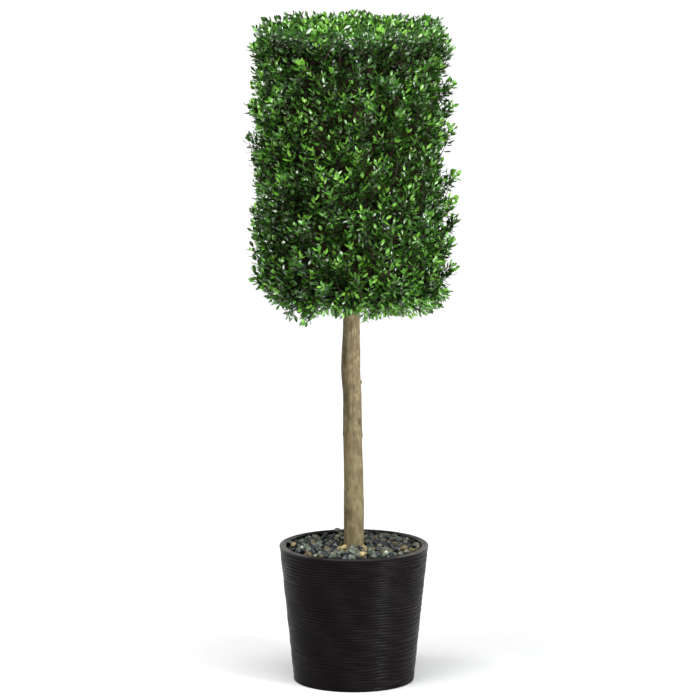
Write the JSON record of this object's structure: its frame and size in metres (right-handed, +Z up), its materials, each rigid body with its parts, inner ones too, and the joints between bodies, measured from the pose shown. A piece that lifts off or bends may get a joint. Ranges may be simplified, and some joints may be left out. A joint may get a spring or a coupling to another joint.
{
  "type": "artificial boxwood cylinder topiary",
  "caption": "Clipped round column of small green boxwood leaves on a bare wooden pole, set in a tapered, finely ribbed black planter topped with gravel.",
  "frame": {"origin": "centre of the planter's flat underside", "axes": "+Z up along the pole, +X to the right in the picture, -Y towards its camera"},
  "size_m": [0.4315, 0.4348, 1.37],
  "materials": {
    "pot": "black moulded resin, finely ribbed, soft sheen",
    "ballast": "rough cast",
    "gravel": "crushed stone of mixed greys",
    "trunk": "bare pole with thin pale bark",
    "crown": "small glossy green leaves"
  },
  "bodies": {
    "root": {"pot": "pot", "ballast": "ballast", "gravel": "gravel", "trunk": "trunk", "crown": "crown"}
  },
  "joints": []
}
